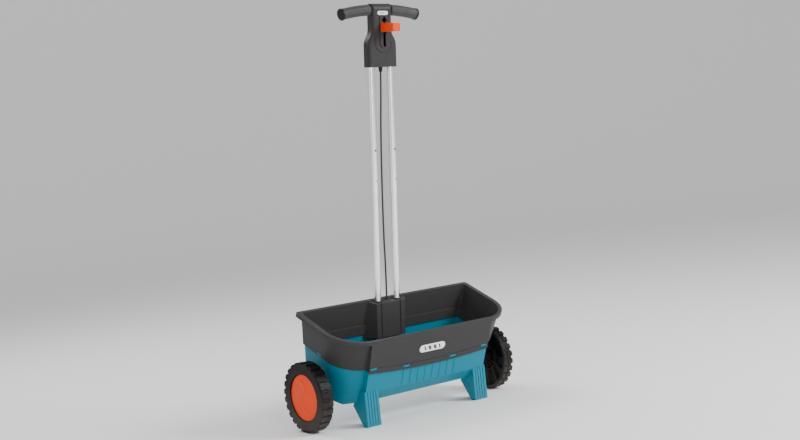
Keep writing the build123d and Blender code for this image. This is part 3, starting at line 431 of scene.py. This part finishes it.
def badge_print(node, slope, bar_colour):
    """White gloss pill with a row of plain slanted blocks, whose outer two are cut short."""
    low, high = np.array(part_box(node))
    name = node.replace("_", " ") + " print"
    finish = Finish(name, (0.86, 0.86, 0.85), {"Coat Weight": 0.5, "Coat Roughness": 0.08})
    x, y, z = finish.axes(finish.placed(move=tuple(-(low + high) / 2)))
    up = z * math.cos(slope) - y * math.sin(slope)
    half = (high[0] - low[0]) / 2
    slant = x + 0.35 * up
    in_row = (abs(slant) < PRINT_LENGTH * half) * (abs(up) < PRINT_HEIGHT * half)
    bars = finish.maths("PINGPONG", slant / (PRINT_PITCH * half), 0.5) > 0.24
    edge = finish.noise(900.0, 2.0, 0.5)
    finish.feed("Base Color", finish.tint(in_row * bars, bar_colour))
    finish.feed("Roughness", 0.24 + 0.1 * (edge - 0.5))
    finish.feed("Normal", finish.relief(in_row * bars + 0.15 * edge, 0.00012, 0.4))
    return finish.material


def shared(name):
    """A finish that several groups of pieces have, made the first time it is asked for."""
    recipes = {
        "plated steel": lambda: plated_steel(name, (0.58, 0.58, 0.57)),
        "spring steel": lambda: plated_steel(name, (0.46, 0.46, 0.47), 0.24),
        "natural acetal": lambda: moulded_plastic(name, (0.74, 0.73, 0.68), 0.38, 1500.0, 0.00003),
        "orange plastic": lambda: moulded_plastic(
            name, bpy.context.scene.spreader_colours.accents, 0.36, 1500.0, 0.00004
        ),
    }
    return bpy.data.materials.get(name) or recipes[name]()


def paint(material, *names):
    """Gives CAD pieces this finish in place of their plain one."""
    for name in names:
        node = frame["nodes"][name]
        if not node.material_slots:
            node.data.materials.append(material)
        for place in node.material_slots:
            place.material = material


# ---------------------------------------------------------------- settings


def colour_of(name, description, default):
    """A colour setting."""
    return bpy.props.FloatVectorProperty(
        name=name, description=description, default=default, subtype="COLOR", min=0, max=1
    )


class SpreaderColours(bpy.types.PropertyGroup):
    """Colours of the spreader's pieces."""

    hopper: colour_of("Hopper", "Lower hopper and its feet", (0.0, 0.185, 0.27))
    collar: colour_of("Collar", "Upper hopper, tube housing and handle head", (0.040, 0.039, 0.039))
    wheels: colour_of("Wheels", "Wheels with their tread", (0.0055, 0.0055, 0.006))
    accents: colour_of("Accents", "Wheel caps and dosing lever", (0.84, 0.05, 0.0))
    grips: colour_of("Grips", "Soft grips and their ends", (0.024, 0.024, 0.026))
    tubes: colour_of("Tubes", "Handle tubes", (0.95, 0.95, 0.96))
    bars: colour_of("Badge bars", "Bars printed on the badges", (0.05, 0.06, 0.07))


class SpreaderSizes(bpy.types.PropertyGroup):
    """Sizes of what is made as surfaces."""

    grip_radius: bpy.props.FloatProperty(
        name="Grip radius", description="Outside of the soft grips", default=0.016, unit="LENGTH"
    )
    crease_depth: bpy.props.FloatProperty(
        name="Crease depth", description="Crease along each grip", default=0.0011, unit="LENGTH"
    )
    cable_diameter: bpy.props.FloatProperty(
        name="Cable diameter", description="Sheath of the cable", default=0.0056, unit="LENGTH"
    )
    cap_dome: bpy.props.FloatProperty(
        name="Cap dome", description="Rise of the caps' middle", default=0.0014, unit="LENGTH"
    )


# ---------------------------------------------------------------- pieces


class SPREADER_OT_stage(bpy.types.Operator):
    """Pale floor, soft lights and the camera"""

    bl_idname = "spreader.stage"
    bl_label = "Stage"

    def execute(self, context):
        scene = context.scene
        camera_data = bpy.data.cameras.new("camera")
        camera_data.lens = CAMERA_LENS
        camera_data.sensor_width = 36
        camera = bpy.data.objects.new("camera", camera_data)
        camera.location = CAMERA_PLACE
        camera.rotation_euler = [math.radians(angle) for angle in CAMERA_TURN]
        scene.collection.objects.link(camera)
        scene.camera = camera
        world = bpy.data.worlds.new("soft room")
        world.use_nodes = True
        room = world.node_tree.nodes["Background"]
        room.inputs["Color"].default_value = (1.0, 1.0, 1.0, 1)
        room.inputs["Strength"].default_value = ROOM_LIGHT
        scene.world = world
        for name, (place, size, power) in SOFT_LIGHTS.items():
            self.softbox(scene, name, place, size, power)
        floor = self.sweep()
        finish = Finish("pale floor", (0.93, 0.93, 0.93), {"Roughness": 0.9})
        floor.data.materials.append(finish.material)
        return {"FINISHED"}

    def sweep(self):
        """The floor: a wide disc whose rim rises as a quarter circle into a wall all round."""
        rise = np.linspace(0, math.pi / 2, 24)
        flat = np.array([0, 1 / 3, 2 / 3]) * FLOOR_RADIUS
        outside = FLOOR_RADIUS + SWEEP_RADIUS
        reach = np.concatenate([flat, FLOOR_RADIUS + SWEEP_RADIUS * np.sin(rise), [outside]])
        height = np.concatenate([0 * flat, SWEEP_RADIUS * (1 - np.cos(rise)), [WALL_HEIGHT]])
        turn = np.linspace(0, 2 * math.pi, 96, endpoint=False)
        x = reach[:, None] * np.cos(turn)
        y = reach[:, None] * np.sin(turn)
        return knit("floor", np.stack([x, y, np.broadcast_to(height[:, None], x.shape)], axis=-1))

    def softbox(self, scene, name, place, size, power):
        """A rectangular soft light that faces the middle of the spreader."""
        data = bpy.data.lights.new(name, "AREA")
        data.shape = "RECTANGLE"
        data.size, data.size_y = size
        data.energy = power
        light = bpy.data.objects.new(name, data)
        light.location = place
        reach = np.array(LIGHT_TARGET) - np.array(place)
        light.rotation_euler = (
            math.atan2(math.hypot(reach[0], reach[1]), -reach[2]),
            0,
            math.atan2(-reach[0], reach[1]),
        )
        scene.collection.objects.link(light)


class SPREADER_OT_hopper(bpy.types.Operator):
    """Finishes of the hopper's tub, collar and badge"""

    bl_idname = "spreader.hopper"
    bl_label = "Hopper"

    def execute(self, context):
        colours = context.scene.spreader_colours
        tub = moulded_plastic("teal plastic", colours.hopper, 0.40, 900.0, 0.00006, dust=0.10)
        collar = moulded_plastic("grey plastic", colours.collar, 0.44, 1100.0, 0.0001)
        paint(tub, "hopper_tub")
        paint(collar, "hopper_collar")
        paint(badge_print("front_badge", TUB_TILT, colours.bars), "front_badge")
        return {"FINISHED"}


class SPREADER_OT_wheels(bpy.types.Operator):
    """Finishes of the wheels, and their domed caps with raised crescents"""

    bl_idname = "spreader.wheels"
    bl_label = "Wheels and caps"

    def execute(self, context):
        colours = context.scene.spreader_colours
        tyre = moulded_plastic("black plastic", colours.wheels, 0.46, 1300.0, 0.00014, dust=0.22)
        paint(tyre, "wheel_left", "wheel_right")
        orange = shared("orange plastic")
        for side, body in (("left", "drive_axle"), ("right", "free_wheel")):
            cap = keep_edges(self.cap(f"cap_{side}", f"wheel_cap_{side}"), 50)
            cap.data.materials.append(orange)
            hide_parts(f"wheel_cap_{side}")
            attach(cap, body)
        return {"FINISHED"}

    def cap(self, name, node):
        """A domed disc as a surface of its radius and angle.

        The outside rises to the middle as one less the squared radius, rolls over a rounded edge
        and closes flat behind. Two crescents, each one circle less another beside it, stand
        proud, and a small ring marks the middle.
        """
        sizes = bpy.context.scene.spreader_sizes
        low, high = np.array(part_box(node))
        outward = 1 if low[0] > 0 else -1
        radius = (high[2] - low[2]) / 2
        face = high[0] if outward > 0 else -low[0]
        reach = np.concatenate([[0], np.linspace(0.01, FACE_END, 70)]) * radius
        angle = np.linspace(0, 2 * math.pi, 192, endpoint=False)
        ring, turn = np.meshgrid(reach, angle, indexing="ij")
        y, z = ring * np.cos(turn), ring * np.sin(turn)
        rise = np.zeros_like(ring)
        major, minor = CRESCENT_TILT
        for flip in (-1, 1):
            along = flip * (major * y - minor * z) / radius
            upward = flip * (minor * y + major * z) / radius
            full = np.hypot(along + 0.02, upward - 0.44) - CRESCENT_RADIUS
            bite = CRESCENT_RADIUS - np.hypot(along - 0.13, upward - 0.36)
            rise += CRESCENT_RISE / (1 + np.exp(CRESCENT_EDGE * np.maximum(full, bite)))
        ring_at, ring_width = MIDDLE_RING
        rise += MIDDLE_RING_RISE * np.exp(-(((ring / radius - ring_at) / ring_width) ** 2))
        rise *= ring < MARKS_END * radius
        dome = face - CAP_INSET - sizes.cap_dome * (ring / radius) ** 2 + rise
        edge = np.linspace(0, math.pi / 2, 7)[1:]
        round_off = EDGE_ROUND * radius
        rim_reach = radius * FACE_END + round_off * np.sin(edge)
        rim_x = face - CAP_INSET - sizes.cap_dome - round_off * (1 - np.cos(edge))
        back_x = face - CAP_THICKNESS
        rim_reach = np.concatenate([rim_reach, [radius, radius * BACK_END, 0]])
        rim_x = np.concatenate([rim_x, [back_x, back_x, back_x]])
        rim = np.stack(
            [
                np.repeat(rim_x[:, None], angle.size, 1),
                rim_reach[:, None] * np.cos(angle),
                rim_reach[:, None] * np.sin(angle),
            ],
            axis=-1,
        )
        points = np.concatenate([np.stack([dome, y, z], axis=-1), rim])
        points[..., 0] *= outward
        points[..., 1:] += AXLE[1:]
        return knit(name, points)


class SPREADER_OT_axle(bpy.types.Operator):
    """Finishes of the axle, its bushes, pin, clips and agitator"""

    bl_idname = "spreader.axle"
    bl_label = "Axle and agitator"

    def execute(self, context):
        paint(shared("plated steel"), "axle", "drive_pin", "crank_pin")
        paint(shared("spring steel"), "axle_clips")
        paint(shared("natural acetal"), "axle_bush_left", "axle_bush_right")
        black = moulded_plastic("agitator plastic", (0.03, 0.03, 0.032), 0.5, 1000.0, 0.0001)
        paint(black, "agitator", "dosing_slide", "shutter_crank")
        return {"FINISHED"}


class SPREADER_OT_tubes(bpy.types.Operator):
    """Finishes of the telescopic tubes, their plugs and snap clips"""

    bl_idname = "spreader.tubes"
    bl_label = "Tubes"

    def execute(self, context):
        colours = context.scene.spreader_colours
        upper = drawn_tube("drawn aluminium", colours.tubes)
        for side in ("left", "right"):
            paint(upper, f"lower_tube_{side}", f"upper_tube_{side}")
            paint(shared("spring steel"), f"snap_clip_{side}")
            paint(shared("natural acetal"), f"tube_plug_{side}")
        return {"FINISHED"}


class SPREADER_OT_head(bpy.types.Operator):
    """Finishes of the handle's head, its badge, screws and lever"""

    bl_idname = "spreader.head"
    bl_label = "Head and lever"

    def execute(self, context):
        colours = context.scene.spreader_colours
        shell = moulded_plastic("head plastic", shade(colours.collar, 0.85), 0.42, 1300.0, 0.00007)
        paint(shell, "head_front", "head_rear")
        paint(shared("plated steel"), "head_screws", "wire_nipple", "cable_ferrule")
        paint(shared("spring steel"), "detent_spring")
        paint(shared("natural acetal"), "lever_carriage")
        paint(badge_print("head_badge", HANDLE_LEAN, colours.bars), "head_badge")
        paint(shared("orange plastic"), "dosing_lever")
        return {"FINISHED"}


class SPREADER_OT_grips(bpy.types.Operator):
    """Soft grips on the drooping bar, with a crease front and back and a dimple on top"""

    bl_idname = "spreader.grips"
    bl_label = "Grips"

    def execute(self, context):
        colours = context.scene.spreader_colours
        rubber = soft_rubber("grip rubber", colours.grips)
        dark = shade(colours.grips, 0.6)
        cap_plastic = moulded_plastic("grip cap plastic", dark, 0.4, 1500.0, 0.00004)
        for side, outward in (("left", -1), ("right", 1)):
            grip = keep_edges(self.grip(f"soft_grip_{side}", outward), 60)
            grip.data.materials.append(rubber)
            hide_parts(f"grip_{side}")
            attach(grip, "handle_top")
            paint(cap_plastic, f"grip_cap_{side}")
        paint(shared("plated steel"), "grip_bar")
        return {"FINISHED"}

    def grip(self, name, outward):
        """A sleeve on an arc: places along the arc by angles round it.

        Its radius is the grip's, less a quarter circle at the inner end, less a narrow bell curve
        across the front and back for the crease, and less a round bell curve for the dimple.
        The rows go out along the outside and come back along the bore.
        """
        sizes = bpy.context.scene.spreader_sizes
        bend = (BAR_HALF_SPAN**2 + BAR_DROOP**2) / (2 * BAR_DROOP)
        corner = np.linspace(0, math.pi / 2, 9)
        rounding = GRIP_START + GRIP_ROUND * (1 - np.cos(corner))
        along = np.concatenate([rounding, np.linspace(GRIP_START + GRIP_ROUND + 0.001, GRIP_STOP, 90)])
        height = np.full(along.size, sizes.grip_radius)
        height[: corner.size] -= GRIP_ROUND * (1 - np.sin(corner))
        turn = np.linspace(0, 2 * math.pi, 96, endpoint=False)
        run = (along - GRIP_START) / (GRIP_STOP - GRIP_START)
        fade_in, fade_out = CREASE_FADES
        fade = np.clip(np.minimum(run / fade_in, (1 - run) / fade_out), 0, 1)
        crease = np.exp(-((np.cos(turn) / CREASE_WIDTH) ** 2))
        dimple_long, dimple_wide = DIMPLE_HALF_SIZE
        from_inner_end = (along - GRIP_START - DIMPLE_PLACE)[:, None]
        from_top = np.minimum(turn, 2 * math.pi - turn)[None, :]
        away = np.hypot(from_inner_end / dimple_long, from_top / dimple_wide)
        radius = height[:, None] - sizes.crease_depth * fade[:, None] * crease[None, :]
        radius = radius - DIMPLE_DEPTH * np.exp(-(away**2))
        radius = np.concatenate([radius, np.full((2, turn.size), GRIP_BORE)])
        along = np.concatenate([along, [GRIP_STOP, GRIP_START]])
        bent = np.arcsin(along / bend)[:, None]
        out = bend + radius * np.cos(turn)
        x = outward * out * np.sin(bent)
        up = BAR_HEIGHT - bend + out * np.cos(bent)
        back = radius * np.sin(turn)
        return knit(name, handle_point(x, back, up), loop_rows=True)


class SPREADER_OT_cable(bpy.types.Operator):
    """The control cable between the head and the hopper, and its wire"""

    bl_idname = "spreader.cable"
    bl_label = "Cable"

    def execute(self, context):
        sizes = context.scene.spreader_sizes
        sheath = cable_sheath("cable sheath", (0.012, 0.012, 0.013))
        corners = self.corners(SHEATH_TOP, SHEATH_BOTTOM)
        path = route(corners)
        skin = tube_round(path, sizes.cable_diameter / 2, SHEATH_BORE_RADIUS)
        cable = keep_edges(knit("control_cable", skin, loop_rows=True), 60)
        cable.data.materials.append(sheath)
        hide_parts("cable_sleeve")
        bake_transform(cable)
        wire_path = route(self.corners(WIRE_TOP, WIRE_BOTTOM))
        strand = tube_round(wire_path, WIRE_RADIUS, WIRE_CORE_RADIUS, 10)
        wire = knit("cable_wire", strand, loop_rows=True)
        wire.data.materials.append(shared("plated steel"))
        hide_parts("inner_wire")
        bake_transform(wire)
        boot = moulded_plastic("grommet rubber", (0.02, 0.02, 0.021), 0.55, 1200.0, 0.0001)
        paint(boot, "cable_grommet")
        return {"FINISHED"}

    def corners(self, top, bottom):
        """The cable's route: straight at both ends and bowed back a little in between."""
        back = np.array([0, 0, CABLE_BOW, CABLE_BOW, 0, 0])
        bowed = (0.7 * HEAD_BOTTOM, 0.3 * HEAD_BOTTOM)
        up = np.array([top, CABLE_NECK, *bowed, CABLE_FOOT, bottom])
        return handle_point(np.zeros(6), back, up)


class SPREADER_PT_pieces(bpy.types.Panel):
    """The spreader's pieces, colours and sizes"""

    bl_idname = "SPREADER_PT_pieces"
    bl_label = "Drop spreader"
    bl_space_type = "VIEW_3D"
    bl_region_type = "UI"
    bl_category = "Spreader"

    def draw(self, context):
        layout = self.layout
        for settings in (context.scene.spreader_colours, context.scene.spreader_sizes):
            for name in settings.bl_rna.properties.keys():
                if name not in {"rna_type", "name"}:
                    layout.prop(settings, name)
        for operator in OPERATORS:
            layout.operator(operator.bl_idname)


OPERATORS = (
    SPREADER_OT_stage,
    SPREADER_OT_hopper,
    SPREADER_OT_wheels,
    SPREADER_OT_axle,
    SPREADER_OT_tubes,
    SPREADER_OT_head,
    SPREADER_OT_grips,
    SPREADER_OT_cable,
)
CLASSES = (SpreaderColours, SpreaderSizes, *OPERATORS, SPREADER_PT_pieces)


def register():
    """Registers the classes and their settings on the scene."""
    for new_class in CLASSES:
        bpy.utils.register_class(new_class)
    bpy.types.Scene.spreader_colours = bpy.props.PointerProperty(type=SpreaderColours)
    bpy.types.Scene.spreader_sizes = bpy.props.PointerProperty(type=SpreaderSizes)


def unregister():
    """Removes the settings and the classes."""
    del bpy.types.Scene.spreader_sizes
    del bpy.types.Scene.spreader_colours
    for old_class in reversed(CLASSES):
        bpy.utils.unregister_class(old_class)


def main():
    """Makes every piece."""
    register()
    for operator in OPERATORS:
        group, action = operator.bl_idname.split(".")
        getattr(getattr(bpy.ops, group), action)()


if __name__ == "__main__":
    main()
